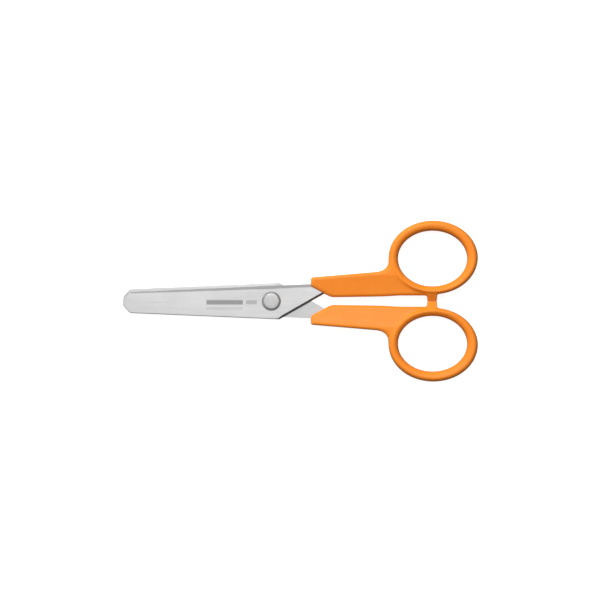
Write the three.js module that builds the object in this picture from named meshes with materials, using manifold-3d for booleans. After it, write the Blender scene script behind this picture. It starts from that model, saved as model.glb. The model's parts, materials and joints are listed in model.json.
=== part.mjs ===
// Blunt-nosed paper-craft scissors: straight stainless blades, moulded plastic handles, one riveted pivot.
// Millimetres. +X runs from the blade noses to the finger rings, +Y to the upper ring, +Z up.
// The closed scissors lie flat. The origin is the middle of their footprint, on the surface they lie on.
// Both halves are the same blade and the same handle, one of them turned over about X.

import * as THREE from "three";
import { mergeVertices } from "three/addons/utils/BufferGeometryUtils.js";
import Module from "manifold-3d";

const wasm = await Module();
wasm.setup();

const DEG = Math.PI / 180;

// Whole object
const OVERALL_LENGTH = 130;
const PIVOT_TO_NOSE = 54.3;
const HANDLE_THICKNESS = 7;
const PIVOT_X = PIVOT_TO_NOSE - OVERALL_LENGTH / 2;

// Blade: lengths from the pivot centre, heights from the centre line
const BLADE_THICKNESS = 1.4;
const BLADE_INNER_Z = 0.05; // each blade's inner face stands this far off the parting plane
const EDGE_Y = 5.6; // height of the cutting edge beside the pivot
const EDGE_TAPER = 2.54 * DEG; // the cutting edge climbs from the nose to the handle
const SPINE_Y = -6.57;
const SPINE_TAPER = 2.42 * DEG; // the spine falls away from the nose
const SPINE_END_X = 2.9;
const NOSE_LENGTH = 2.45; // the blunt nose is cut back to a short flat end over this length
const NOSE_MIDDLE_Y = -0.5;
const NOSE_HALF_WIDTH = 1.3;
const NOSE_ROUNDING = 0.7;
const BEVEL_WIDTH = 1;
const BEVEL_END_X = 16; // just inside the handle
const HEEL_X = 6; // from here on the blade counts as tang
const EDGE_LAND = 0.2; // thickness left at the cutting edge
const HOLLOW_DEPTH = 0.2;
const HOLLOW_RADIUS = 26;
const HOLLOW_SPAN = [-46, -8];

// Tang: the strip of the blade that the handle is moulded round
const TANG_ANGLE = 29.7 * DEG; // slope of the cut from the end of the spine up to the tang
const TANG_TOP_Y = 7.2;
const TANG_BOTTOM_Y = 3.2;
const TANG_END_X = 40;
const KEY_HOLE_XS = [27, 34];
const KEY_HOLE_Y = (TANG_TOP_Y + TANG_BOTTOM_Y) / 2;
const KEY_HOLE_RADIUS = 1.1;
const MOULD_CLEARANCE = 0.1; // gap between the tang and the plastic round it

// Pivot
const SHANK_RADIUS = 2;
const PIVOT_HOLE_RADIUS = 2.07;
const HEAD_RADIUS = 3.5;
const HEAD_HEIGHT = 0.95;
const WASHER_RADIUS = 3.3;
const WASHER_THICKNESS = 0.5;
const TAIL_RADIUS = 2.7;
const TAIL_HEIGHT = 0.7;
const RUNNING_GAP = 0.05;

// Handle: finger ring, lever and closing stop
const RING_CENTRE = new THREE.Vector2(59.35, 16);
const RING_OUTER = new THREE.Vector2(16.35, 13.5);
const HOLE_CENTRE = new THREE.Vector2(59.09, 15.62); // the ring's wall is thinnest beside the lever
const HOLE_HALF = new THREE.Vector2(12.66, 10.18);
const RING_CREST = 0.65; // the ring is thickest this far across its wall, from the hole outwards
const RING_TUBE_SIDES = 14; // gives the ring a narrow flat land, above and below
const RING_STEPS = 56;
const WEB_INSET = new THREE.Vector2(2.95, 2.35); // from the ring's outside in to where the lever's plate stops
const LEVER_FRONT_X = 14.5;
const LEVER_FRONT_TOP_Y = 8.66;
const LEVER_FRONT_LOW_Y = 5.4;
const LEVER_CHAMFER_X = 21.9;
const LEVER_UNDERSIDE = [1.4, 1.7, 2.1]; // height of the lower edge at the front, the middle and the ring
const LEVER_TOP_ANGLE = 4.82 * DEG;
const LEVER_TOP_END_X = 37.4;
const LEVER_FILLET = 5.5;
const LEVER_HALF_THICKNESS = 3.25; // at the outer edge
const LEVER_INNER_HALF_THICKNESS = 2.1; // at the inner edge
const LEVER_FULL_Y = 9.5; // height at which the lever reaches its full thickness
const LEVER_ROUNDING = 0.9;
const STOP_WIDTH = 3.5;
const STOP_X = 58.95;
const STOP_FACE_Y = 0.05;
const STOP_FILLET = 1;
const STOP_HALF_THICKNESS = 2.5; // at the root
const STOP_TIP_HALF_THICKNESS = 1.35;
const STOP_ROUNDING = 0.4;

const steel = new THREE.MeshStandardMaterial({ color: 0xd8dadb, roughness: 0.32, metalness: 1 });
const rivetSteel = new THREE.MeshStandardMaterial({ color: 0xcfd1d2, roughness: 0.25, metalness: 1 });
const orangePlastic = new THREE.MeshStandardMaterial({ color: 0xf98a28, roughness: 0.38, metalness: 0 });

// ---------------------------------------------------------------- solids

function toSolid(geometry) {
  const bare = geometry.clone();
  bare.deleteAttribute("normal");
  bare.deleteAttribute("uv");
  const merged = mergeVertices(bare, 1e-4);
  return new wasm.Manifold(
    new wasm.Mesh({
      numProp: 3,
      vertProperties: merged.attributes.position.array,
      triVerts: new Uint32Array(fullTriangles(merged.index.array)),
    }),
  );
}

// Drops the triangles that lost a corner when equal points were merged.
function fullTriangles(index) {
  const kept = [];
  for (let i = 0; i < index.length; i += 3) {
    const [a, b, c] = index.slice(i, i + 3);
    if (a !== b && b !== c && c !== a) kept.push(a, b, c);
  }
  return kept;
}

function toGeometry(solid) {
  const mesh = solid.getMesh();
  const geometry = new THREE.BufferGeometry();
  geometry.setAttribute("position", new THREE.BufferAttribute(mesh.vertProperties, 3));
  geometry.setIndex(new THREE.BufferAttribute(mesh.triVerts, 1));
  geometry.computeVertexNormals();
  return geometry;
}

// A plan outline extruded from z0 to z1; a rounding eats into the outline, so it never makes the piece larger.
function plate(shape, z0, z1, { rounding = 0, curveSegments = 10 } = {}) {
  const geometry = new THREE.ExtrudeGeometry(shape, {
    depth: z1 - z0 - 2 * rounding,
    curveSegments,
    bevelEnabled: rounding > 0,
    bevelThickness: rounding,
    bevelSize: rounding,
    bevelOffset: -rounding,
    bevelSegments: 2,
  });
  return geometry.translate(0, 0, z0 + rounding);
}

// A cross-section drawn in (y, z), extruded along X.
function bar(section, x0, x1) {
  const outline = new THREE.Shape(section.map(([y, z]) => new THREE.Vector2(y, z)));
  const geometry = new THREE.ExtrudeGeometry(outline, { depth: x1 - x0, bevelEnabled: false });
  const alongX = new THREE.Matrix4().makeBasis(
    new THREE.Vector3(0, 1, 0),
    new THREE.Vector3(0, 0, 1),
    new THREE.Vector3(1, 0, 0),
  );
  return geometry.applyMatrix4(alongX).translate(x0, 0, 0);
}

function circleHole(x, y, radius) {
  return new THREE.Path().absarc(x, y, radius, 0, 2 * Math.PI, false);
}

// ---------------------------------------------------------------- blade

// Height of the cutting edge and of the spine at a distance from the pivot.
const edgeY = (x) => EDGE_Y + x * Math.tan(EDGE_TAPER);
const spineY = (x) => SPINE_Y - x * Math.tan(SPINE_TAPER);

// The tang's corners from the heel round to the foot of the sloping cut, grown outwards by a clearance.
function tangCorners(grow) {
  const rise = TANG_BOTTOM_Y - spineY(SPINE_END_X);
  const cornerX = SPINE_END_X + rise / Math.tan(TANG_ANGLE) + grow * Math.tan(TANG_ANGLE / 2);
  const tip = 1.2; // corners of the tang's end are cut back by this much
  return [
    [HEEL_X, edgeY(HEEL_X) + grow],
    [LEVER_FRONT_X + 3, edgeY(LEVER_FRONT_X + 3) + grow],
    [LEVER_FRONT_X + 6, TANG_TOP_Y + grow],
    [TANG_END_X - tip, TANG_TOP_Y + grow],
    [TANG_END_X + grow, TANG_TOP_Y - tip],
    [TANG_END_X + grow, TANG_BOTTOM_Y + tip],
    [TANG_END_X - tip, TANG_BOTTOM_Y - grow],
    [cornerX, TANG_BOTTOM_Y - grow],
    [SPINE_END_X + grow * Math.sin(TANG_ANGLE), spineY(SPINE_END_X) - grow * Math.cos(TANG_ANGLE)],
  ];
}

// The nose's four corners, from the spine round to the cutting edge.
function noseCorners() {
  const shoulderX = NOSE_LENGTH - PIVOT_TO_NOSE;
  return [
    [shoulderX, spineY(shoulderX)],
    [-PIVOT_TO_NOSE, NOSE_MIDDLE_Y - NOSE_HALF_WIDTH],
    [-PIVOT_TO_NOSE, NOSE_MIDDLE_Y + NOSE_HALF_WIDTH],
    [shoulderX, edgeY(shoulderX)],
  ].map(([x, y]) => new THREE.Vector2(x, y));
}

// Adds a line and a rounded corner to an outline; the rounding starts and ends at a given distance from the corner.
function addRoundCorner(shape, corner, next, distance) {
  const before = shape.currentPoint;
  const start = corner.clone().lerp(before, distance / corner.distanceTo(before));
  const end = corner.clone().lerp(next, distance / corner.distanceTo(next));
  shape.lineTo(start.x, start.y);
  shape.quadraticCurveTo(corner.x, corner.y, end.x, end.y);
}

function bladeOutline() {
  const tang = tangCorners(0);
  const corners = noseCorners();
  const shape = new THREE.Shape();
  shape.moveTo(...tang.at(-1));
  corners.forEach((corner, i) => {
    const next = corners[i + 1] ?? new THREE.Vector2(...tang[0]);
    addRoundCorner(shape, corner, next, NOSE_ROUNDING);
  });
  for (const [x, y] of tang) shape.lineTo(x, y);
  shape.holes.push(circleHole(0, 0, PIVOT_HOLE_RADIUS));
  for (const x of KEY_HOLE_XS) shape.holes.push(circleHole(x, KEY_HOLE_Y, KEY_HOLE_RADIUS));
  return shape;
}

// Takes the ground bevel off the outer face, all along the cutting edge.
function bevelCutter() {
  const overrun = 3;
  const section = [
    [-BEVEL_WIDTH, BLADE_THICKNESS],
    [0, EDGE_LAND],
    [overrun, EDGE_LAND],
    [overrun, BLADE_THICKNESS + overrun],
    [-BEVEL_WIDTH, BLADE_THICKNESS + overrun],
  ];
  return bar(section, -PIVOT_TO_NOSE - overrun, BEVEL_END_X).rotateZ(EDGE_TAPER).translate(0, EDGE_Y, 0);
}

// The shallow hollow ground into the inner face, so that two blades only touch at the pivot and the edges.
function hollowCutter() {
  const [x0, x1] = HOLLOW_SPAN;
  return new THREE.CylinderGeometry(HOLLOW_RADIUS, HOLLOW_RADIUS, x1 - x0, 128)
    .rotateZ(Math.PI / 2)
    .translate((x0 + x1) / 2, 0, HOLLOW_DEPTH - HOLLOW_RADIUS);
}

function bladeGeometry() {
  const blank = toSolid(plate(bladeOutline(), 0, BLADE_THICKNESS));
  const ground = blank.subtract(toSolid(bevelCutter())).subtract(toSolid(hollowCutter()));
  return toGeometry(ground).translate(0, 0, BLADE_INNER_Z);
}

// ---------------------------------------------------------------- handle

const onOval = (centre, half, angle) =>
  new THREE.Vector2(centre.x + half.x * Math.cos(angle), centre.y + half.y * Math.sin(angle));

// A torus fitted between the ring's oval outside and its oval finger hole.
function ringGeometry() {
  const geometry = new THREE.TorusGeometry(2, 1, RING_TUBE_SIDES, RING_STEPS);
  const highest = Math.sin(Math.PI / 2 - Math.PI / RING_TUBE_SIDES); // of the tube, before it is fitted
  const position = geometry.attributes.position;
  const point = new THREE.Vector3();
  for (let i = 0; i < position.count; i++) {
    point.fromBufferAttribute(position, i);
    const angle = Math.atan2(point.y, point.x);
    const across = Math.hypot(point.x, point.y) - 2; // -1 at the hole, 1 at the outside
    const acrossWall = RING_CREST + across * (across < 0 ? RING_CREST : 1 - RING_CREST);
    const outside = onOval(RING_CENTRE, RING_OUTER, angle);
    const place = onOval(HOLE_CENTRE, HOLE_HALF, angle).lerp(outside, acrossWall);
    position.setXYZ(i, place.x, place.y, (point.z / highest) * (HANDLE_THICKNESS / 2));
  }
  return geometry;
}

function leverOutline() {
  const [frontY, middleY, ringY] = LEVER_UNDERSIDE;
  const topEndY = LEVER_FRONT_TOP_Y + (LEVER_TOP_END_X - LEVER_FRONT_X) * Math.tan(LEVER_TOP_ANGLE);
  const filletX = LEVER_TOP_END_X - LEVER_FILLET * Math.sin(LEVER_TOP_ANGLE);
  const filletY = topEndY + LEVER_FILLET * Math.cos(LEVER_TOP_ANGLE);
  const web = RING_OUTER.clone().sub(WEB_INSET);
  const ringLeft = RING_CENTRE.x - RING_OUTER.x;

  const shape = new THREE.Shape();
  shape.moveTo(LEVER_FRONT_X, LEVER_FRONT_TOP_Y);
  shape.lineTo(LEVER_FRONT_X, LEVER_FRONT_LOW_Y);
  shape.lineTo(LEVER_CHAMFER_X, frontY);
  shape.lineTo(LEVER_TOP_END_X, middleY);
  shape.lineTo(ringLeft + 3, ringY);
  shape.lineTo(RING_CENTRE.x, ringY);
  shape.absellipse(RING_CENTRE.x, RING_CENTRE.y, web.x, web.y, -Math.PI / 2, -Math.PI, true);
  shape.lineTo(ringLeft + 1.3, RING_CENTRE.y + 1.3);
  shape.absarc(filletX, filletY, LEVER_FILLET, 0, LEVER_TOP_ANGLE - Math.PI / 2, true);
  shape.closePath();
  return shape;
}

// Thins a plate towards y = 0, so that its broad faces lean in to the gap between the handles.
function thinned(geometry, fullY, thinnest) {
  const position = geometry.attributes.position;
  for (let i = 0; i < position.count; i++) {
    const across = THREE.MathUtils.clamp(position.getY(i) / fullY, 0, 1);
    position.setZ(i, position.getZ(i) * THREE.MathUtils.lerp(thinnest, 1, across));
  }
  return geometry;
}

function leverGeometry() {
  const geometry = plate(leverOutline(), -LEVER_HALF_THICKNESS, LEVER_HALF_THICKNESS, { rounding: LEVER_ROUNDING });
  return thinned(geometry, LEVER_FULL_Y, LEVER_INNER_HALF_THICKNESS / LEVER_HALF_THICKNESS);
}

// The peg that meets its twin on the other handle when the scissors close.
function stopGeometry() {
  const half = STOP_WIDTH / 2;
  const ringY = LEVER_UNDERSIDE[2];
  const rootY = ringY + 1.6;
  const shape = new THREE.Shape();
  shape.moveTo(STOP_X - half, STOP_FACE_Y);
  shape.lineTo(STOP_X + half, STOP_FACE_Y);
  shape.absarc(STOP_X + half + STOP_FILLET, ringY - STOP_FILLET + 0.6, STOP_FILLET, Math.PI, Math.PI / 2, true);
  shape.lineTo(STOP_X + half + STOP_FILLET, rootY);
  shape.lineTo(STOP_X - half - STOP_FILLET, rootY);
  shape.absarc(STOP_X - half - STOP_FILLET, ringY - STOP_FILLET + 0.2, STOP_FILLET, Math.PI / 2, 0, true);
  shape.closePath();
  const options = { rounding: STOP_ROUNDING, curveSegments: 3 };
  const peg = plate(shape, -STOP_HALF_THICKNESS, STOP_HALF_THICKNESS, options);
  return thinned(peg, ringY, STOP_TIP_HALF_THICKNESS / STOP_HALF_THICKNESS);
}

// The space that the tang fills, with plastic left standing in the tang's key holes.
function pocketGeometry() {
  const shape = new THREE.Shape(tangCorners(MOULD_CLEARANCE).map(([x, y]) => new THREE.Vector2(x, y)));
  for (const x of KEY_HOLE_XS) shape.holes.push(circleHole(x, KEY_HOLE_Y, KEY_HOLE_RADIUS - MOULD_CLEARANCE));
  const bottom = BLADE_INNER_Z - MOULD_CLEARANCE;
  return plate(shape, bottom, bottom + BLADE_THICKNESS + 2 * MOULD_CLEARANCE);
}

function handleGeometry() {
  const moulding = toSolid(ringGeometry()).add(toSolid(leverGeometry())).add(toSolid(stopGeometry()));
  return toGeometry(moulding.subtract(toSolid(pocketGeometry())));
}

// ---------------------------------------------------------------- pivot

const bladesTopZ = BLADE_INNER_Z + BLADE_THICKNESS;

// Low round head on the front, shank through both blades, peened tail on the back.
function rivetGeometry() {
  const seat = bladesTopZ + RUNNING_GAP;
  const washerBack = -bladesTopZ - 2 * RUNNING_GAP - WASHER_THICKNESS;
  const profile = [
    [0, washerBack - TAIL_HEIGHT],
    [TAIL_RADIUS - 0.9, washerBack - TAIL_HEIGHT],
    [TAIL_RADIUS - 0.3, washerBack - TAIL_HEIGHT * 0.7],
    [TAIL_RADIUS, washerBack - TAIL_HEIGHT * 0.25],
    [TAIL_RADIUS, washerBack],
    [SHANK_RADIUS, washerBack],
    [SHANK_RADIUS, seat],
    [HEAD_RADIUS, seat],
    [HEAD_RADIUS, seat + HEAD_HEIGHT * 0.25],
    [HEAD_RADIUS - 0.85, seat + HEAD_HEIGHT * 0.92],
    [HEAD_RADIUS - 2, seat + HEAD_HEIGHT],
    [0, seat + HEAD_HEIGHT],
  ];
  return turned(profile);
}

function washerGeometry() {
  const front = -bladesTopZ - RUNNING_GAP;
  const back = front - WASHER_THICKNESS;
  const chamfer = 0.12;
  const profile = [
    [PIVOT_HOLE_RADIUS, back],
    [WASHER_RADIUS - chamfer, back],
    [WASHER_RADIUS, back + chamfer],
    [WASHER_RADIUS, front],
    [PIVOT_HOLE_RADIUS, front],
    [PIVOT_HOLE_RADIUS, back],
  ];
  return turned(profile);
}

// A profile of (radius, z) turned about Z.
function turned(profile) {
  const points = profile.map(([radius, z]) => new THREE.Vector2(radius, z));
  return toGeometry(toSolid(new THREE.LatheGeometry(points, 32).rotateX(Math.PI / 2)));
}

// ---------------------------------------------------------------- assembly

function named(name, geometry, material) {
  const mesh = new THREE.Mesh(geometry, material);
  mesh.name = name;
  return mesh;
}

const blade = bladeGeometry();
const handle = handleGeometry();

const frontHalf = new THREE.Group();
frontHalf.add(named("front_blade", blade, steel));
frontHalf.add(named("upper_handle", handle, orangePlastic));

const rearHalf = new THREE.Group();
rearHalf.add(named("rear_blade", blade, steel));
rearHalf.add(named("lower_handle", handle, orangePlastic));
rearHalf.rotation.x = Math.PI;

const scissors = new THREE.Group();
scissors.add(frontHalf, rearHalf);
scissors.add(named("pivot_rivet", rivetGeometry(), rivetSteel));
scissors.add(named("rivet_washer", washerGeometry(), rivetSteel));
scissors.position.set(PIVOT_X, 0, HANDLE_THICKNESS / 2);

const part = new THREE.Group();
part.add(scissors);

export default part;
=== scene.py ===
"""Blunt-nosed craft scissors: the visible pieces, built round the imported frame.

Shapes are worked out in millimetres, from the pivot, with z = 0 on the plane where the blades meet.
The upper half is the front blade and its handle; the lower half is the same pair turned over about X.
"""

import json
import math

import bmesh
import bpy
import numpy as np
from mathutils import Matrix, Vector


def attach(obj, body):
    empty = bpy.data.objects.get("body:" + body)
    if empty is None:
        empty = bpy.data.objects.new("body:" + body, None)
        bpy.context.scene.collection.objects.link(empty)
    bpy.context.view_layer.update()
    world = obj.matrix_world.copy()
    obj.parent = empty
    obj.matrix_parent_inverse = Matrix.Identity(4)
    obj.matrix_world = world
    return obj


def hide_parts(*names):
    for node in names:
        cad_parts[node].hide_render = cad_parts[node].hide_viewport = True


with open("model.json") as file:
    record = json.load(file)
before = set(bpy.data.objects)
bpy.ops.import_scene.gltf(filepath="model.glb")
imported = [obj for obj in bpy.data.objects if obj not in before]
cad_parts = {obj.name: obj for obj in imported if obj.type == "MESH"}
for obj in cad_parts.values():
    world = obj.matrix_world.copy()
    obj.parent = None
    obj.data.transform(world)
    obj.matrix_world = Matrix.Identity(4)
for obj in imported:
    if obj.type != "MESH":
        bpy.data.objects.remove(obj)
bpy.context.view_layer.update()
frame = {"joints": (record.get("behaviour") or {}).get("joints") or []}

MM = 0.001
PIVOT = np.array(frame["joints"][0]["pos_m"])

# Finger ring: a tube between an oval outside and an oval finger hole
RING_CENTRE = np.array([59.35, 16.0])
RING_HALF = np.array([16.35, 13.5])
HOLE_CENTRE = np.array([59.09, 15.62])
HOLE_HALF = np.array([12.66, 10.18])
RING_HALF_HEIGHT = 3.46
RING_CREST = 0.3  # the ring is thickest this share of half its wall outside the wall's middle
RING_SQUARENESS = 2.05

# Lever
LEVER_FRONT_X = 14.5
LEVER_FRONT_TOP_Y = 8.66
LEVER_FRONT_LOW_Y = 5.4
LEVER_CHAMFER_X = 21.9
LEVER_LOW_Y = 1.4
LEVER_LOW_RISE = 0.3  # the inner edge climbs by this much, over the run, from the chamfer on
LEVER_LOW_RISE_RUN = 20
LEVER_LOW_STEP = 0.35  # and by this much more beside the ring
LEVER_LOW_STEP_XS = (40, 48)
LEVER_TOP_ANGLE = math.radians(4.82)
LEVER_END_X = 58.5
LEVER_HALF_THICKNESS = 3.25
LEVER_INNER_HALF_THICKNESS = 2.07
LEVER_FULL_Y = 9.5
LEVER_ROUNDING = 1.05
LEVER_CORNER = 0.7
LEVER_FILLET = 6.5  # on the outer side, where the lever meets the ring
LEVER_FILLET_YS = (6, 10)  # from the plain corner to the full fillet
RING_SKIRT_INSET = 0.5
RING_BLEND = 0.7

# Closing stop
STOP_X = 58.95
STOP_HALF_WIDTH = 1.75
STOP_FACE_Y = 0.02
STOP_ROOT_Y = 4.0
STOP_HALF_THICKNESS = (1.35, 2.5)  # at the tip and beside the ring
STOP_FULL_Y = 2.1
STOP_ROUNDING = 0.35
STOP_BLEND = 1.0

# Grid of the handle's mesh
NET_STEP = 0.34
NET_MARGIN = 0.6
NET_HALF_LAYERS = 12.5  # the layers match above and below, and none lies along the ring's crest
RELAX_ROUNDS = 4

# Blade
BLADE_INNER_Z = 0.05
BLADE_OUTER_Z = 1.45
EDGE_Y = 5.6
EDGE_TAPER = math.radians(2.54)
SPINE_Y = -6.57
SPINE_TAPER = math.radians(2.42)
SPINE_END_X = 2.9
NOSE_X = -54.3
NOSE_LENGTH = 2.45
NOSE_MIDDLE_Y = -0.5
NOSE_HALF_WIDTH = 1.3
NOSE_ROUNDING = 0.7
NOSE_PARTS = 6
TANG_ANGLE = math.radians(29.7)
TANG_TOP_Y = 7.2
TANG_BOTTOM_Y = 3.2
TANG_END_X = 40.0
TANG_CORNER = 1.2
TANG_STEP_LENGTH = 3  # from the end of the bevel to the full width of the tang
BLADE_STATIONS = 62
STATION_SPACING = 0.5  # a plain station this close to a corner is left out
BEVEL_WIDTHS = (0.45, 1.12)  # at the nose and beside the pivot; the bevel runs out towards the nose
BEVEL_SLOPE = 1.09
BEVEL_END_X = 17.5
BEVEL_SOFTNESS = 0.12
SPINE_ROUNDING = 0.3
SPINE_RELIEF = (0.9, 0.03)  # width and depth of the slant along the spine, on the inner face
SPINE_RELIEF_STARTS = (NOSE_X + 2, NOSE_X + 5)
SPINE_RELIEF_STOPS = (SPINE_END_X - 2, SPINE_END_X)
CUT_CHAMFER = (0.8, 0.9)  # width and depth of the chamfer along the sloping cut of the tang
CUT_HEIGHT = TANG_BOTTOM_Y - SPINE_Y + SPINE_END_X * math.tan(SPINE_TAPER)
CUT_END_X = SPINE_END_X + CUT_HEIGHT / math.tan(TANG_ANGLE)
CUT_BLEND = 1
SHEARED_SHADOW_LEAN = 0.4  # a face is part of the cut if it leans at least this much towards it
DEBURR = 0.05
OUTER_STEPS = 5
FLAT_MARGIN = 0.12  # keeps the shading of the rounded edges off the flat face
HOLLOW_DEPTH = 0.2
HOLLOW_HALF_WIDTH = 3.4
HOLLOW_SPAN = (-47.0, -7.0)
HOLLOW_BLEND = 3
PIVOT_HOLE_RADIUS = 2.07
HOLE_SEGMENTS = 64

# Etched bars beside the pivot: centre x and y, half length, half width, and how dark
ETCHED_BARS = (
    (-17.1, -0.45, 6.6, 0.66, 0.78),
    (-17.1, -2.65, 6.6, 0.3, 0.28),
    (-7.3, -0.42, 1.9, 0.55, 0.52),
)
ETCHED_SOFTNESS = (0.15, 0.4)  # along and across

# Rivet and washer
HEAD_RADIUS = 3.5
HEAD_SEAT_Z = 1.5
HEAD_HEIGHT = 0.95
HEAD_SEAT_CHAMFER = 0.06
HEAD_RIM_ROUNDING = 0.2
HEAD_SHOULDER = (0.95, 0.51, 0.5)  # how far in and down its centre is, and its radius
HEAD_CROWN = (1.6, 0.004)  # radius and drop of the nearly flat crown
SHANK_RADIUS = 2.0
WASHER_FRONT_Z = -1.5
WASHER_THICKNESS = 0.5
WASHER_RADIUS = 3.3
WASHER_BORE_PLAY = 0.05
WASHER_ROUNDING = 0.12
WASHER_CHAMFER = 0.03
END_PLAY = 0.05
TAIL_RADIUS = 2.7
TAIL_HEIGHT = 0.7
TAIL_EDGE = (0.9, 0.45)
TAIL_DIMPLE = ((0, 0.14), (0.55, 0.1), (0.85, 0.02), (1.1, 0))  # radius and depth

# Studio
FLOOR_GLOW = 0.85
KEY_PLACE, KEY_SIZE, KEY_POWER = (-0.41, 0.72, 0.56), 0.45, 10.9
KEY_MIRRORED = 0.2  # the share of the key light that glossy surfaces mirror: all of it would glare
OVERHEAD_PLACE, OVERHEAD_SIZE, OVERHEAD_POWER = (0, 0.37, 0.93), 0.3, 1.8
CAMERA_PLACE = (-0.0002, 0.0004, 1.2)
FRAME_WIDTH = 0.2207  # what the picture spans at the height of the floor
SENSOR_WIDTH = 36
# Soft ramps, added: direction, where along it the ramp starts and stops, and brightness from and to
SKY = (
    ((0, 0, 1), (0.7, 0.95, 0, 0.28)),
    ((0, 0, 1), (-0.4, 0.1, -0.21, 0)),
    ((-0.5, 0.866, 0), (-1, 1, 0.24, 0.6)),
)


# ---------------------------------------------------------------- meshes

def placed(points, turned_over=False):
    """Millimetres from the pivot to metres in the frame."""
    turn = np.array([1, -1, -1]) if turned_over else np.ones(3)
    return PIVOT + MM * turn * np.asarray(points, float)


def new_piece(name, points, faces, turned_over=False, sharp=math.radians(30)):
    mesh = bpy.data.meshes.new(name)
    mesh.from_pydata(placed(points, turned_over).tolist(), [], faces)
    mesh.validate()
    mesh.shade_smooth()
    if sharp is not None:
        mesh.set_sharp_from_angle(angle=sharp)
    piece = bpy.data.objects.new(name, mesh)
    bpy.context.collection.objects.link(piece)
    return piece


def face_outwards(piece):
    """Makes every face of a closed mesh point out."""
    work = bmesh.new()
    work.from_mesh(piece.data)
    bmesh.ops.recalc_face_normals(work, faces=work.faces)
    work.to_mesh(piece.data)
    work.free()


def smooth_step(x, low, high):
    t = np.clip((x - low) / (high - low), 0, 1)
    return t * t * (3 - 2 * t)


def smooth_union(a, b, reach):
    h = np.clip(0.5 + 0.5 * (b - a) / reach, 0, 1)
    return b + (a - b) * h - reach * h * (1 - h)


def smooth_overlap(a, b, reach):
    return -smooth_union(-a, -b, reach)


# ---------------------------------------------------------------- handle

def oval_distance(p, centre, half):
    """In plan: how far a point is outside an oval."""
    offset = (p[:, :2] - centre) / half
    radius = np.maximum(np.linalg.norm(offset, axis=1), 1e-6)
    slope = np.linalg.norm(offset / half, axis=1) / radius
    return (radius - 1) / np.maximum(slope, 1e-6)


def ring_plan(p):
    """In plan: the distance from the middle of the ring's wall, positive outwards, and half the wall."""
    from_hole = oval_distance(p, HOLE_CENTRE, HOLE_HALF)
    from_outside = oval_distance(p, RING_CENTRE, RING_HALF)
    return (from_hole + from_outside) / 2, np.maximum(from_hole - from_outside, 0.5) / 2


def ring_distance(p):
    across, half = ring_plan(p)
    off_crest = across - RING_CREST * half
    reach = half * np.where(off_crest < 0, 1 + RING_CREST, 1 - RING_CREST)
    s = np.abs(off_crest) / reach
    t = np.abs(p[:, 2]) / RING_HALF_HEIGHT
    n = RING_SQUARENESS
    gauge = np.maximum((s**n + t**n) ** (1 / n), 1e-6)
    slope = np.hypot((s / gauge) ** (n - 1) / reach, (t / gauge) ** (n - 1) / RING_HALF_HEIGHT)
    return (gauge - 1) / np.maximum(slope, 1e-6)


def lever_plan(p):
    """In plan: the lever with its fillet to the ring, and a skirt of it all round inside the ring's wall."""
    x, y = p[:, 0], p[:, 1]
    rise = math.tan(LEVER_TOP_ANGLE)
    top = (y - LEVER_FRONT_TOP_Y - (x - LEVER_FRONT_X) * rise) * math.cos(LEVER_TOP_ANGLE)
    run = np.array([LEVER_CHAMFER_X - LEVER_FRONT_X, LEVER_LOW_Y - LEVER_FRONT_LOW_Y])
    run /= np.linalg.norm(run)
    chamfer = (x - LEVER_FRONT_X) * run[1] - (y - LEVER_FRONT_LOW_Y) * run[0]
    low_y = LEVER_LOW_Y + LEVER_LOW_RISE * np.clip((x - LEVER_CHAMFER_X) / LEVER_LOW_RISE_RUN, 0, 1)
    low_y = low_y + LEVER_LOW_STEP * smooth_step(x, *LEVER_LOW_STEP_XS)
    plate = smooth_overlap(top, LEVER_FRONT_X - x, LEVER_CORNER)
    plate = smooth_overlap(plate, chamfer, LEVER_CORNER)
    plate = smooth_overlap(plate, low_y - y, LEVER_CORNER)
    plate = np.maximum(plate, x - LEVER_END_X)
    across, half = ring_plan(p)
    reach = half - RING_SKIRT_INSET
    fillet = LEVER_CORNER + (LEVER_FILLET - LEVER_CORNER) * smooth_step(y, *LEVER_FILLET_YS)
    plate = smooth_union(plate, np.abs(across) - reach, fillet)
    return np.maximum(plate, -across - reach)


def rounded_plate(plan, z, half_thickness, rounding):
    """A plan distance made into a plate with rounded edges."""
    a = plan + rounding
    b = np.abs(z) - half_thickness + rounding
    return np.minimum(np.maximum(a, b), 0) + np.hypot(np.maximum(a, 0), np.maximum(b, 0)) - rounding


def lever_distance(p):
    share = np.clip(p[:, 1] / LEVER_FULL_Y, 0, 1)
    half = LEVER_INNER_HALF_THICKNESS + (LEVER_HALF_THICKNESS - LEVER_INNER_HALF_THICKNESS) * share
    return rounded_plate(lever_plan(p), p[:, 2], half, LEVER_ROUNDING)


def stop_distance(p):
    tip, root = STOP_HALF_THICKNESS
    half_depth = (STOP_ROOT_Y - STOP_FACE_Y) / 2
    half = np.full(p.shape, (STOP_HALF_WIDTH, half_depth, 0.0))
    half[:, 2] = tip + (root - tip) * np.clip(p[:, 1] / STOP_FULL_Y, 0, 1)
    q = np.abs(p - (STOP_X, STOP_FACE_Y + half_depth, 0)) - half + STOP_ROUNDING
    return np.minimum(q.max(axis=1), 0) + np.linalg.norm(np.maximum(q, 0), axis=1) - STOP_ROUNDING


def handle_distance(p):
    body = smooth_union(ring_distance(p), lever_distance(p), RING_BLEND)
    return smooth_union(body, stop_distance(p), STOP_BLEND)


def gradient(distance, p, h=0.01):
    steps = h * np.eye(3)
    return np.stack([(distance(p + s) - distance(p - s)) / (2 * h) for s in steps], axis=1)


def settle(distance, p, rounds):
    """Moves points on to the surface where the distance is zero."""
    for _ in range(rounds):
        slope = gradient(distance, p)
        pull = distance(p) / np.maximum((slope**2).sum(axis=1), 0.2)
        p = p - np.clip(pull, -0.3, 0.3)[:, None] * slope
    return p


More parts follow.
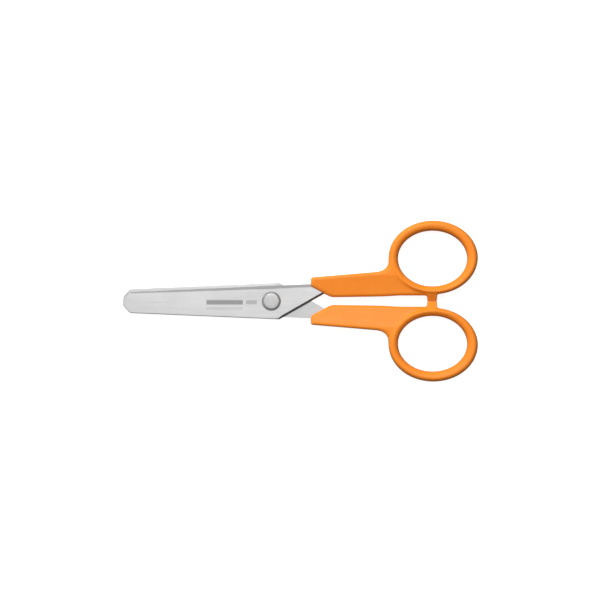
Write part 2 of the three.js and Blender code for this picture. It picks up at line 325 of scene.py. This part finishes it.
def relax(points, faces):
    """Moves each point half way to the middle of its neighbours."""
    quads = np.array(faces)
    total = np.zeros_like(points)
    count = np.zeros(len(points))
    for k in range(4):
        here, there = quads[:, k], quads[:, (k + 1) % 4]
        np.add.at(total, here, points[there])
        np.add.at(total, there, points[here])
        np.add.at(count, here, 1)
        np.add.at(count, there, 1)
    return 0.5 * points + 0.5 * total / count[:, None]


def surface_net(distance, low, high, step):
    """A closed mesh of quads on the surface where the distance is zero."""
    counts = np.ceil((high - low) / step).astype(int) + 1
    axes = [low[i] + step * np.arange(counts[i]) for i in range(3)]
    grid = np.stack(np.meshgrid(*axes, indexing="ij"), axis=-1).reshape(-1, 3)
    inside = (distance(grid) < 0).reshape(counts)
    cells = counts - 1
    corners = [
        inside[i : i + cells[0], j : j + cells[1], k : k + cells[2]]
        for i in (0, 1) for j in (0, 1) for k in (0, 1)
    ]
    mixed = np.any(corners, axis=0) & ~np.all(corners, axis=0)
    index = np.full(mixed.shape, -1)
    index[mixed] = np.arange(mixed.sum())
    points = low + step * (np.argwhere(mixed) + 0.5)
    faces = []
    for axis in range(3):
        u, v = [a for a in range(3) if a != axis]
        here = inside.take(range(cells[axis]), axis)
        ahead = inside.take(range(1, counts[axis]), axis)
        for at in np.argwhere(here != ahead):
            around = []
            for du, dv in ((0, 0), (-1, 0), (-1, -1), (0, -1)):
                cell = at.copy()
                cell[u] += du
                cell[v] += dv
                around.append(int(index[tuple(cell)]))
            faces.append(around)
    return points, faces


def handle_mesh():
    reach_z = NET_HALF_LAYERS * NET_STEP
    low = np.array([LEVER_FRONT_X - NET_MARGIN, -NET_MARGIN, -reach_z])
    high = np.array([*(RING_CENTRE + RING_HALF + NET_MARGIN), reach_z])
    points, faces = surface_net(handle_distance, low, high, NET_STEP)
    for _ in range(RELAX_ROUNDS):
        points = relax(settle(handle_distance, points, 2), faces)
    return settle(handle_distance, points, 4), faces


def make_handles():
    points, faces = handle_mesh()
    handles = []
    for name, node, body, over in (
        ("upper_handle_moulding", "upper_handle", "front_half", False),
        ("lower_handle_moulding", "lower_handle", "rear_half", True),
    ):
        piece = new_piece(name, points, faces, over, sharp=None)
        face_outwards(piece)
        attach(piece, body)
        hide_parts(node)
        handles.append(piece)
    return handles


# ---------------------------------------------------------------- blade

def edge_y(x):
    return EDGE_Y + x * math.tan(EDGE_TAPER)


def spine_y(x):
    return SPINE_Y - x * math.tan(SPINE_TAPER)


def rounded_corner(before, corner, after, steps=7):
    """Points on a curve that rounds a corner off."""
    start = corner + (before - corner) * NOSE_ROUNDING / np.linalg.norm(before - corner)
    end = corner + (after - corner) * NOSE_ROUNDING / np.linalg.norm(after - corner)
    share = np.linspace(0, 1, steps)[:, None]
    return (1 - share) ** 2 * start + 2 * share * (1 - share) * corner + share**2 * end


def nose_side(line, way):
    """One side of the nose, from its flat end to where the straight side of the blade starts."""
    shoulder_x = NOSE_X + NOSE_LENGTH
    middle = np.array([NOSE_X, NOSE_MIDDLE_Y])
    tip = middle + (0, way * NOSE_HALF_WIDTH)
    shoulder = np.array([shoulder_x, line(shoulder_x)])
    first = rounded_corner(middle, tip, shoulder)
    last = rounded_corner(tip, shoulder, np.array([0, line(0)]))
    between = [first[-1] + (last[0] - first[-1]) * k / NOSE_PARTS for k in range(1, NOSE_PARTS)]
    return np.concatenate([first, between, last])


def blade_sides():
    """Points along the edge side and along the spine side, in pairs, from the nose to the tang's end."""
    top = [
        (BEVEL_END_X, edge_y(BEVEL_END_X)), (BEVEL_END_X + TANG_STEP_LENGTH, TANG_TOP_Y),
        (TANG_END_X - TANG_CORNER, TANG_TOP_Y), (TANG_END_X, TANG_TOP_Y - TANG_CORNER),
    ]
    bottom = [
        (SPINE_END_X, spine_y(SPINE_END_X)), (CUT_END_X, TANG_BOTTOM_Y),
        (TANG_END_X - TANG_CORNER, TANG_BOTTOM_Y), (TANG_END_X, TANG_BOTTOM_Y + TANG_CORNER),
    ]
    noses = nose_side(edge_y, 1), nose_side(spine_y, -1)
    corners = sorted({x for x, _ in top + bottom})
    plain = np.linspace(max(nose[-1, 0] for nose in noses), TANG_END_X, BLADE_STATIONS)[1:]
    apart = [x for x in plain if np.abs(x - corners).min() > STATION_SPACING]
    stations = np.array(sorted(corners + apart))
    sides = []
    for nose, tail in zip(noses, (top, bottom)):
        path = np.concatenate([nose[-1:], tail])
        straight = np.column_stack([stations, np.interp(stations, *path.T)])
        sides.append(np.concatenate([nose, straight]))
    return sides


def inward(outline):
    """For each corner of a closed anticlockwise outline, the step that insets both its sides by 1."""
    ahead = np.roll(outline, -1, axis=0) - outline
    ahead /= np.linalg.norm(ahead, axis=1)[:, None]
    behind = np.roll(ahead, 1, axis=0)
    normal = np.stack([-(ahead + behind)[:, 1], (ahead + behind)[:, 0]], axis=1)
    normal /= np.linalg.norm(normal, axis=1)[:, None]
    lean = (normal * np.stack([-ahead[:, 1], ahead[:, 0]], axis=1)).sum(axis=1)
    return normal / np.maximum(lean, 0.5)[:, None]


def blade_levels(outline, is_edge):
    """Loops round the blade from its inner face to its outer one, each as insets and heights."""
    x, y = outline.T
    below_edge = np.maximum(edge_y(x) - y, 0)
    width = np.interp(x, [NOSE_X, 0], BEVEL_WIDTHS)
    bevelled = smooth_step(width - below_edge, SPINE_ROUNDING, SPINE_ROUNDING + BEVEL_SOFTNESS)
    bevelled = bevelled * is_edge * (x < BEVEL_END_X)
    cut_xs = [SPINE_END_X - CUT_BLEND, SPINE_END_X + CUT_BLEND, CUT_END_X - CUT_BLEND, CUT_END_X]
    on_cut = np.interp(x, cut_xs, [0, 1, 1, 0]) * ~is_edge
    run = SPINE_ROUNDING + on_cut * (CUT_CHAMFER[0] - SPINE_ROUNDING)
    drop = SPINE_ROUNDING + on_cut * (CUT_CHAMFER[1] - SPINE_ROUNDING)
    run = run + bevelled * (width - below_edge - run)
    drop = drop + bevelled * (run * BEVEL_SLOPE - drop)
    flatness = np.maximum(bevelled, on_cut)
    along_spine = smooth_step(x, *SPINE_RELIEF_STARTS) * (1 - smooth_step(x, *SPINE_RELIEF_STOPS))
    inner = BLADE_INNER_Z + SPINE_RELIEF[1] * along_spine * ~is_edge
    levels = [(np.full(len(x), DEBURR), inner), (np.zeros(len(x)), inner + DEBURR)]
    for k in range(OUTER_STEPS + 1):
        turn = 0.5 * math.pi * k / OUTER_STEPS
        across = flatness * k / OUTER_STEPS + (1 - flatness) * (1 - math.cos(turn))
        up = flatness * k / OUTER_STEPS + (1 - flatness) * math.sin(turn)
        levels.append((across * run, BLADE_OUTER_Z - drop + up * drop))
    levels.append((run + FLAT_MARGIN, np.full(len(x), BLADE_OUTER_Z)))
    return levels


def blade_mesh():
    edge, spine = blade_sides()
    count = len(edge)
    outline = np.concatenate([spine, edge[::-1]])  # both lists start at the flat end of the nose
    is_edge = np.arange(2 * count) >= count
    step_in = inward(outline)
    points, faces = [], []
    levels = blade_levels(outline, is_edge)
    for inset, height in levels:
        points.extend(np.column_stack([outline + step_in * inset[:, None], height]).tolist())
    for level in range(len(levels) - 1):
        lower, upper = level * 2 * count, (level + 1) * 2 * count
        for i in range(2 * count):
            j = (i + 1) % (2 * count)
            faces.append([lower + i, lower + j, upper + j, upper + i])
    rows = [(i, 2 * count - 1 - i) for i in range(count)]
    top = (len(levels) - 1) * 2 * count
    for (s, e), (next_s, next_e) in zip(rows, rows[1:]):
        faces.append([top + s, top + next_s, top + next_e, top + e])
    add_inner_face(points, faces, rows)
    return points, faces


def hollow(x, y):
    """Depth of the shallow hollow ground into the inner face."""
    start, stop = HOLLOW_SPAN
    ends = smooth_step(x, start - HOLLOW_BLEND, start + HOLLOW_BLEND)
    ends *= 1 - smooth_step(x, stop - HOLLOW_BLEND, stop + HOLLOW_BLEND)
    return HOLLOW_DEPTH * max(0.0, 1 - (y / HOLLOW_HALF_WIDTH) ** 2) * ends


def add_inner_face(points, faces, rows, parts=14):
    """The inner face: rows of points between the spine and the edge, the first beside the spine's slant."""
    full = [list(rows[0])]
    for s, e in rows[1:-1]:
        low, high = np.array(points[s][:2]), np.array(points[e][:2])
        first = min(SPINE_RELIEF[0] / np.linalg.norm(high - low), 0.3)
        row = [s]
        for share in np.linspace(first, 1, parts)[:-1]:
            x, y = low + (high - low) * share
            points.append([x, y, BLADE_INNER_Z + hollow(x, y)])
            row.append(len(points) - 1)
        full.append(row + [e])
    full.append(list(rows[-1]))
    faces.append([full[0][0], *full[1], full[0][1]])
    for this, following in zip(full[1:-2], full[2:-1]):
        for k in range(parts):
            faces.append([this[k], this[k + 1], following[k + 1], following[k]])
    faces.append([full[-1][0], *full[-2], full[-1][1]])


def cut_round_hole(piece, turned_over):
    """Cuts the pivot hole through a blade."""
    n = HOLE_SEGMENTS
    ring = [
        (PIVOT_HOLE_RADIUS * math.cos(a), PIVOT_HOLE_RADIUS * math.sin(a))
        for a in np.linspace(0, 2 * math.pi, n, endpoint=False)
    ]
    points = [(x, y, z) for z in (-1.0, 3.0) for x, y in ring]
    faces = [list(range(n - 1, -1, -1)), list(range(n, 2 * n))]
    faces += [[i, (i + 1) % n, n + (i + 1) % n, n + i] for i in range(n)]
    cutter = new_piece("hole_cutter", points, faces, turned_over)
    face_outwards(cutter)
    cut = piece.modifiers.new("hole", "BOOLEAN")
    cut.operation, cut.object, cut.solver = "DIFFERENCE", cutter, "EXACT"
    evaluated = piece.evaluated_get(bpy.context.evaluated_depsgraph_get())
    holed = bpy.data.meshes.new_from_object(evaluated)
    piece.modifiers.clear()
    piece.data = holed
    bpy.data.objects.remove(cutter)


def mark_sheared_shadow_faces(piece, turned_over):
    """Gives the sloping cut of the tang the second material: sheared steel that is also painted dark as a
    shadow.
    """
    outward = Vector((math.sin(TANG_ANGLE), -math.cos(TANG_ANGLE), 0))
    if turned_over:
        outward.y = -outward.y
    for polygon in piece.data.polygons:
        on_tang = polygon.center.x > PIVOT[0] + SPINE_END_X * MM
        polygon.material_index = int(on_tang and polygon.normal.dot(outward) > SHEARED_SHADOW_LEAN)


def make_blades():
    points, faces = blade_mesh()
    blades = []
    for name, node, body, over in (
        ("front_blade_ground", "front_blade", "front_half", False),
        ("rear_blade_ground", "rear_blade", "rear_half", True),
    ):
        piece = new_piece(name, points, faces, over)
        face_outwards(piece)
        cut_round_hole(piece, over)
        piece.data.set_sharp_from_angle(angle=math.radians(25))
        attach(piece, body)
        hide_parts(node)
        blades.append(piece)
    return blades


# ---------------------------------------------------------------- rivet and washer

def arc(centre, radii, start, end, count):
    angles = np.radians(np.linspace(start, end, count))
    return [(centre[0] + radii[0] * math.cos(a), centre[1] + radii[1] * math.sin(a)) for a in angles]


def turned(name, profile, segments=72, on_axis=True):
    """A piece turned about the pivot from a profile of (radius, z), open at the axis or closed on itself."""
    points, faces, loops = [], [], []
    for radius, z in profile:
        if radius < 1e-6:
            points.append((0, 0, z))
            loops.append([len(points) - 1] * segments)
            continue
        start = len(points)
        for k in range(segments):
            a = 2 * math.pi * k / segments
            points.append((radius * math.cos(a), radius * math.sin(a), z))
        loops.append(list(range(start, start + segments)))
    pairs = list(zip(loops, loops[1:])) + ([] if on_axis else [(loops[-1], loops[0])])
    for lower, upper in pairs:
        for k in range(segments):
            j = (k + 1) % segments
            faces.append(list(dict.fromkeys([lower[k], lower[j], upper[j], upper[k]])))
    piece = new_piece(name, points, faces)
    face_outwards(piece)
    piece.data.set_sharp_from_angle(angle=math.radians(35))
    return piece


def make_rivet():
    back = WASHER_FRONT_Z - END_PLAY - WASHER_THICKNESS
    crown = HEAD_SEAT_Z + HEAD_HEIGHT
    tail = back - TAIL_HEIGHT
    rim, chamfer = HEAD_RIM_ROUNDING, HEAD_SEAT_CHAMFER
    inset, drop, shoulder = HEAD_SHOULDER
    crown_radius, crown_drop = HEAD_CROWN
    profile = [(radius, tail + depth) for radius, depth in TAIL_DIMPLE]
    profile += arc((TAIL_RADIUS - TAIL_EDGE[0], tail + TAIL_EDGE[1]), TAIL_EDGE, -80, 0, 8)
    profile += [(TAIL_RADIUS, back), (SHANK_RADIUS, back), (SHANK_RADIUS, HEAD_SEAT_Z)]
    profile += [(HEAD_RADIUS - chamfer, HEAD_SEAT_Z), (HEAD_RADIUS, HEAD_SEAT_Z + chamfer)]
    profile += arc((HEAD_RADIUS - rim, HEAD_SEAT_Z + rim), (rim, rim), 0, 50, 6)
    profile += arc((HEAD_RADIUS - inset, crown - drop), (shoulder, shoulder), 50, 88, 6)
    profile += [(crown_radius, crown - crown_drop), (0, crown)]
    rivet = turned("domed_pivot_rivet", profile)
    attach(rivet, "rear_half")
    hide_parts("pivot_rivet")
    return rivet


def make_washer():
    front, back = WASHER_FRONT_Z, WASHER_FRONT_Z - WASHER_THICKNESS
    hole, rim, soft = PIVOT_HOLE_RADIUS + WASHER_BORE_PLAY, WASHER_RADIUS, WASHER_ROUNDING
    profile = [(hole, front), (hole, back), (rim - soft, back)]
    profile += arc((rim - soft, back + soft), (soft, soft), -80, 0, 5)
    profile += [(rim, front - WASHER_CHAMFER), (rim - WASHER_CHAMFER, front)]
    washer = turned("stamped_rivet_washer", profile, on_axis=False)
    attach(washer, "rear_half")
    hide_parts("rivet_washer")
    return washer


# ---------------------------------------------------------------- materials

class Nodes:
    """A short way to write a material's nodes."""

    def __init__(self, name):
        self.material = bpy.data.materials.new(name)
        self.material.use_nodes = True
        self.tree = self.material.node_tree
        self.shader = self.tree.nodes["Principled BSDF"]

    def add(self, kind, **settings):
        node = self.tree.nodes.new(kind)
        for key, value in settings.items():
            setattr(node, key, value)
        return node

    def link(self, source, target):
        self.tree.links.new(source, target)

    def feed(self, socket, value):
        if isinstance(value, bpy.types.NodeSocket):
            self.link(value, socket)
        else:
            socket.default_value = value

    def math(self, operation, *values, clamp=False):
        node = self.add("ShaderNodeMath", operation=operation, use_clamp=clamp)
        for socket, value in zip(node.inputs, values):
            self.feed(socket, value)
        return node.outputs[0]

    def position(self):
        return self.add("ShaderNodeTexCoord").outputs["Object"]

    def stretched(self, scale, turn=(0, 0, 0)):
        node = self.add("ShaderNodeMapping")
        node.inputs["Scale"].default_value = scale
        node.inputs["Rotation"].default_value = turn
        self.link(self.position(), node.inputs["Vector"])
        return node.outputs["Vector"]

    def noise(self, vector, scale, detail=3.0, roughness=0.5):
        node = self.add("ShaderNodeTexNoise")
        node.inputs["Scale"].default_value = scale
        node.inputs["Detail"].default_value = detail
        node.inputs["Roughness"].default_value = roughness
        self.link(vector, node.inputs["Vector"])
        return node.outputs["Fac"]

    def spread(self, value, low, high):
        """The middle part of a noise, spread over the range from low to high."""
        node = self.add("ShaderNodeMapRange")
        self.feed(node.inputs["Value"], value)
        for key, number in (("From Min", 0.3), ("From Max", 0.7), ("To Min", low), ("To Max", high)):
            node.inputs[key].default_value = number
        return node.outputs["Result"]

    def blend(self, share, first, second):
        node = self.add("ShaderNodeMix", data_type="RGBA")
        self.feed(node.inputs["Factor"], share)
        for socket, value in ((node.inputs[6], first), (node.inputs[7], second)):
            self.feed(socket, value)
        return node.outputs[2]

    def bump(self, height, strength, distance):
        node = self.add("ShaderNodeBump")
        node.inputs["Strength"].default_value = strength
        node.inputs["Distance"].default_value = distance
        self.link(height, node.inputs["Height"])
        self.link(node.outputs["Normal"], self.shader.inputs["Normal"])

    def set(self, **values):
        for key, value in values.items():
            self.feed(self.shader.inputs[key.replace("_", " ")], value)


def handle_plastic():
    """Orange moulded plastic: a fine moulded grain, faint flow marks and a soft gloss."""
    m = Nodes("orange_moulded_plastic")
    place = m.position()
    flow = m.noise(m.stretched((1, 3, 3)), 60, 2)
    cloud = m.noise(place, 130, 4, 0.6)
    grain = m.noise(place, 5200, 2, 0.6)
    tone = m.spread(m.math("ADD", m.math("MULTIPLY", flow, 0.5), m.math("MULTIPLY", cloud, 0.5)), 0, 1)
    colour = m.blend(tone, (0.8, 0.208, 0.006, 1), (0.86, 0.24, 0.012, 1))
    m.set(Base_Color=colour, Roughness=m.spread(m.noise(place, 700, 3), 0.34, 0.44))
    m.set(IOR=1.46, Specular_IOR_Level=0.5)
    m.bump(grain, 0.12, 0.00002)
    return m.material


def in_band(m, coordinate, centre, half, soft):
    """1 where a coordinate is within half of the centre, falling to 0 over the soft distance."""
    off = m.math("ABSOLUTE", m.math("SUBTRACT", coordinate, centre))
    return m.math("DIVIDE", m.math("SUBTRACT", half + soft, off), soft, clamp=True)


def etched_marks(m, x, y):
    """Three plain bars etched beside the pivot on the front blade, as one mask."""
    soft_x, soft_y = ETCHED_SOFTNESS
    mask = 0.0
    for centre_x, centre_y, half_x, half_y, depth in ETCHED_BARS:
        along = in_band(m, x, PIVOT[0] + centre_x * MM, half_x * MM, soft_x * MM)
        across = in_band(m, y, PIVOT[1] + centre_y * MM, half_y * MM, soft_y * MM)
        mask = m.math("MAXIMUM", mask, m.math("MULTIPLY", m.math("MULTIPLY", along, across), depth))
    return mask


def ground_steel(name, painted_shade, marked=False):
    """Stainless steel, ground lengthwise, with soft cloudy polish and faint scratches. The second argument
    scales its colour: below 1 that is a painted shade.
    """
    m = Nodes(name)
    place = m.position()
    lines = m.noise(m.stretched((60, 1900, 1900)), 1.0, 4, 0.65)
    cloud = m.noise(m.stretched((1, 2.2, 2.2)), 70, 3, 0.55)
    scratches = m.noise(m.stretched((240, 5200, 400), (0, 0, 0.5)), 1.0, 2, 0.5)
    dull, bright = [(grey * painted_shade, grey * painted_shade, grey * painted_shade, 1) for grey in (0.7, 0.78)]
    tone = m.blend(m.spread(cloud, 0, 1), dull, bright)
    rough = m.spread(lines, 0.27, 0.35)
    if marked:
        split = m.add("ShaderNodeSeparateXYZ")
        m.link(place, split.inputs[0])
        outward = m.add("ShaderNodeSeparateXYZ")
        m.link(m.add("ShaderNodeTexCoord").outputs["Normal"], outward.inputs[0])
        face = m.math("GREATER_THAN", outward.outputs["Z"], 0.7)
        mask = m.math("MULTIPLY", etched_marks(m, split.outputs["X"], split.outputs["Y"]), face)
        tone = m.blend(mask, tone, (0.26, 0.26, 0.26, 1))
        rough = m.math("ADD", rough, m.math("MULTIPLY", mask, 0.25))
    m.set(Base_Color=tone, Roughness=rough, Metallic=1.0)
    height = m.math("ADD", m.math("MULTIPLY", lines, 0.7), m.math("MULTIPLY", scratches, 0.3))
    m.bump(height, 0.10, 0.00001)
    return m.material


def sheared_steel_and_shadow():
    """The dull, torn surface left where the blank was cut, together with a painted shadow: its near-black
    tone also stands for the shadow along the tang's cut.
    """
    m = Nodes("sheared_stainless_and_painted_shadow")
    tears = m.noise(m.stretched((700, 700, 160)), 6.0, 3, 0.6)
    # near black and not metal: partly the dull sheared surface and partly a painted shadow along the cut
    tone = m.blend(m.spread(tears, 0, 1), (0.06, 0.06, 0.062, 1), (0.11, 0.11, 0.112, 1))
    m.set(Base_Color=tone, Roughness=m.spread(tears, 0.55, 0.7), Metallic=0.0)
    m.bump(tears, 0.2, 0.00003)
    return m.material


def rivet_steel():
    """Smooth rivet steel with faint rings from forming."""
    m = Nodes("formed_rivet_steel")
    place = m.add("ShaderNodeMapping")
    place.inputs["Location"].default_value = (-PIVOT[0], -PIVOT[1], 0)
    m.link(m.position(), place.inputs["Vector"])
    split = m.add("ShaderNodeSeparateXYZ")
    m.link(place.outputs["Vector"], split.inputs[0])
    squares = [m.math("POWER", split.outputs[axis], 2.0) for axis in ("X", "Y")]
    radius = m.math("SQRT", m.math("ADD", *squares))
    rings = m.add("ShaderNodeTexNoise", noise_dimensions="1D")
    m.link(m.math("MULTIPLY", radius, 9000.0), rings.inputs["W"])
    rings.inputs["Scale"].default_value = 1.0
    cloud = m.noise(place.outputs["Vector"], 600, 3)
    tone = m.blend(m.spread(cloud, 0, 1), (0.54, 0.54, 0.535, 1), (0.62, 0.62, 0.62, 1))
    m.set(Base_Color=tone, Metallic=1.0, Roughness=m.spread(rings.outputs["Fac"], 0.36, 0.44))
    m.bump(rings.outputs["Fac"], 0.05, 0.00001)
    return m.material


def paint(piece, *materials):
    piece.data.materials.clear()
    for material in materials:
        piece.data.materials.append(material)


# ---------------------------------------------------------------- studio

def make_floor():
    """A pale light table: it glows, so that shadows hardly show, but it lights and reflects nothing."""
    bpy.ops.mesh.primitive_plane_add(size=6, location=(0, 0, -0.0001))
    floor = bpy.context.object
    floor.name = "pale_floor"
    m = Nodes("pale_floor")
    colour = m.blend(m.spread(m.noise(m.position(), 3), 0, 1), (0.5, 0.5, 0.5, 1), (0.52, 0.52, 0.52, 1))
    m.set(Base_Color=colour, Roughness=0.9, Specular_IOR_Level=0.1)
    m.set(Emission_Color=(1, 1, 1, 1), Emission_Strength=FLOOR_GLOW)
    floor.visible_diffuse = floor.visible_glossy = False
    paint(floor, m.material)


def add_softbox(name, place, size, power, mirrored=True):
    """A square area light that faces the origin. Glossy surfaces mirror it only if mirrored is true."""
    light = bpy.data.lights.new(name, "AREA")
    light.size = size
    light.energy = power
    lamp = bpy.data.objects.new(name, light)
    lamp.location = place
    lamp.rotation_euler = (-lamp.location).to_track_quat("-Z", "Y").to_euler()
    lamp.visible_glossy = mirrored
    bpy.context.collection.objects.link(lamp)


def make_world():
    """A soft surround: bright overhead, dimmer away from the key light, and darkest below the floor."""
    world = bpy.data.worlds.new("studio")
    bpy.context.scene.world = world
    world.use_nodes = True
    tree = world.node_tree
    background = tree.nodes["Background"]
    place = tree.nodes.new("ShaderNodeTexCoord")
    total = None
    for axis, numbers in SKY:
        towards = tree.nodes.new("ShaderNodeVectorMath")
        towards.operation = "DOT_PRODUCT"
        towards.inputs[1].default_value = axis
        tree.links.new(place.outputs["Generated"], towards.inputs[0])
        ramp = tree.nodes.new("ShaderNodeMapRange")
        ramp.interpolation_type = "SMOOTHSTEP"
        tree.links.new(towards.outputs["Value"], ramp.inputs["Value"])
        for key, number in zip(("From Min", "From Max", "To Min", "To Max"), numbers):
            ramp.inputs[key].default_value = number
        adder = tree.nodes.new("ShaderNodeMath")
        adder.inputs[0].default_value = 0
        if total:
            tree.links.new(total, adder.inputs[0])
        tree.links.new(ramp.outputs["Result"], adder.inputs[1])
        total = adder.outputs[0]
    tree.links.new(total, background.inputs["Strength"])
    background.inputs["Color"].default_value = (1, 1, 1, 1)


def make_camera():
    """A long lens straight above the scissors."""
    camera = bpy.data.objects.new("camera", bpy.data.cameras.new("camera"))
    camera.data.sensor_width = SENSOR_WIDTH
    camera.data.lens = SENSOR_WIDTH * CAMERA_PLACE[2] / FRAME_WIDTH
    camera.location = CAMERA_PLACE
    bpy.context.collection.objects.link(camera)
    bpy.context.scene.camera = camera


make_camera()
make_world()
make_floor()
add_softbox("key", KEY_PLACE, KEY_SIZE, KEY_POWER * (1 - KEY_MIRRORED), mirrored=False)
add_softbox("key_mirrored", KEY_PLACE, KEY_SIZE, KEY_POWER * KEY_MIRRORED)
add_softbox("overhead", OVERHEAD_PLACE, OVERHEAD_SIZE, OVERHEAD_POWER)
bpy.context.scene.view_settings.view_transform = "Standard"

plastic = handle_plastic()
for handle in make_handles():
    paint(handle, plastic)
front, rear = make_blades()
# the sloping cut of each tang gets sheared steel that is painted dark as a shadow
sheared_and_shadow = sheared_steel_and_shadow()
paint(front, ground_steel("ground_stainless_marked", 1.0, marked=True), sheared_and_shadow)
# painted shade: the rear blade's steel is coloured 0.9 as bright as the front's, for the blade lying lower,
# under the front one
paint(rear, ground_steel("ground_stainless", 0.9), sheared_and_shadow)
mark_sheared_shadow_faces(front, turned_over=False)
mark_sheared_shadow_faces(rear, turned_over=True)
rivet_metal = rivet_steel()
paint(make_rivet(), rivet_metal)
paint(make_washer(), rivet_metal)
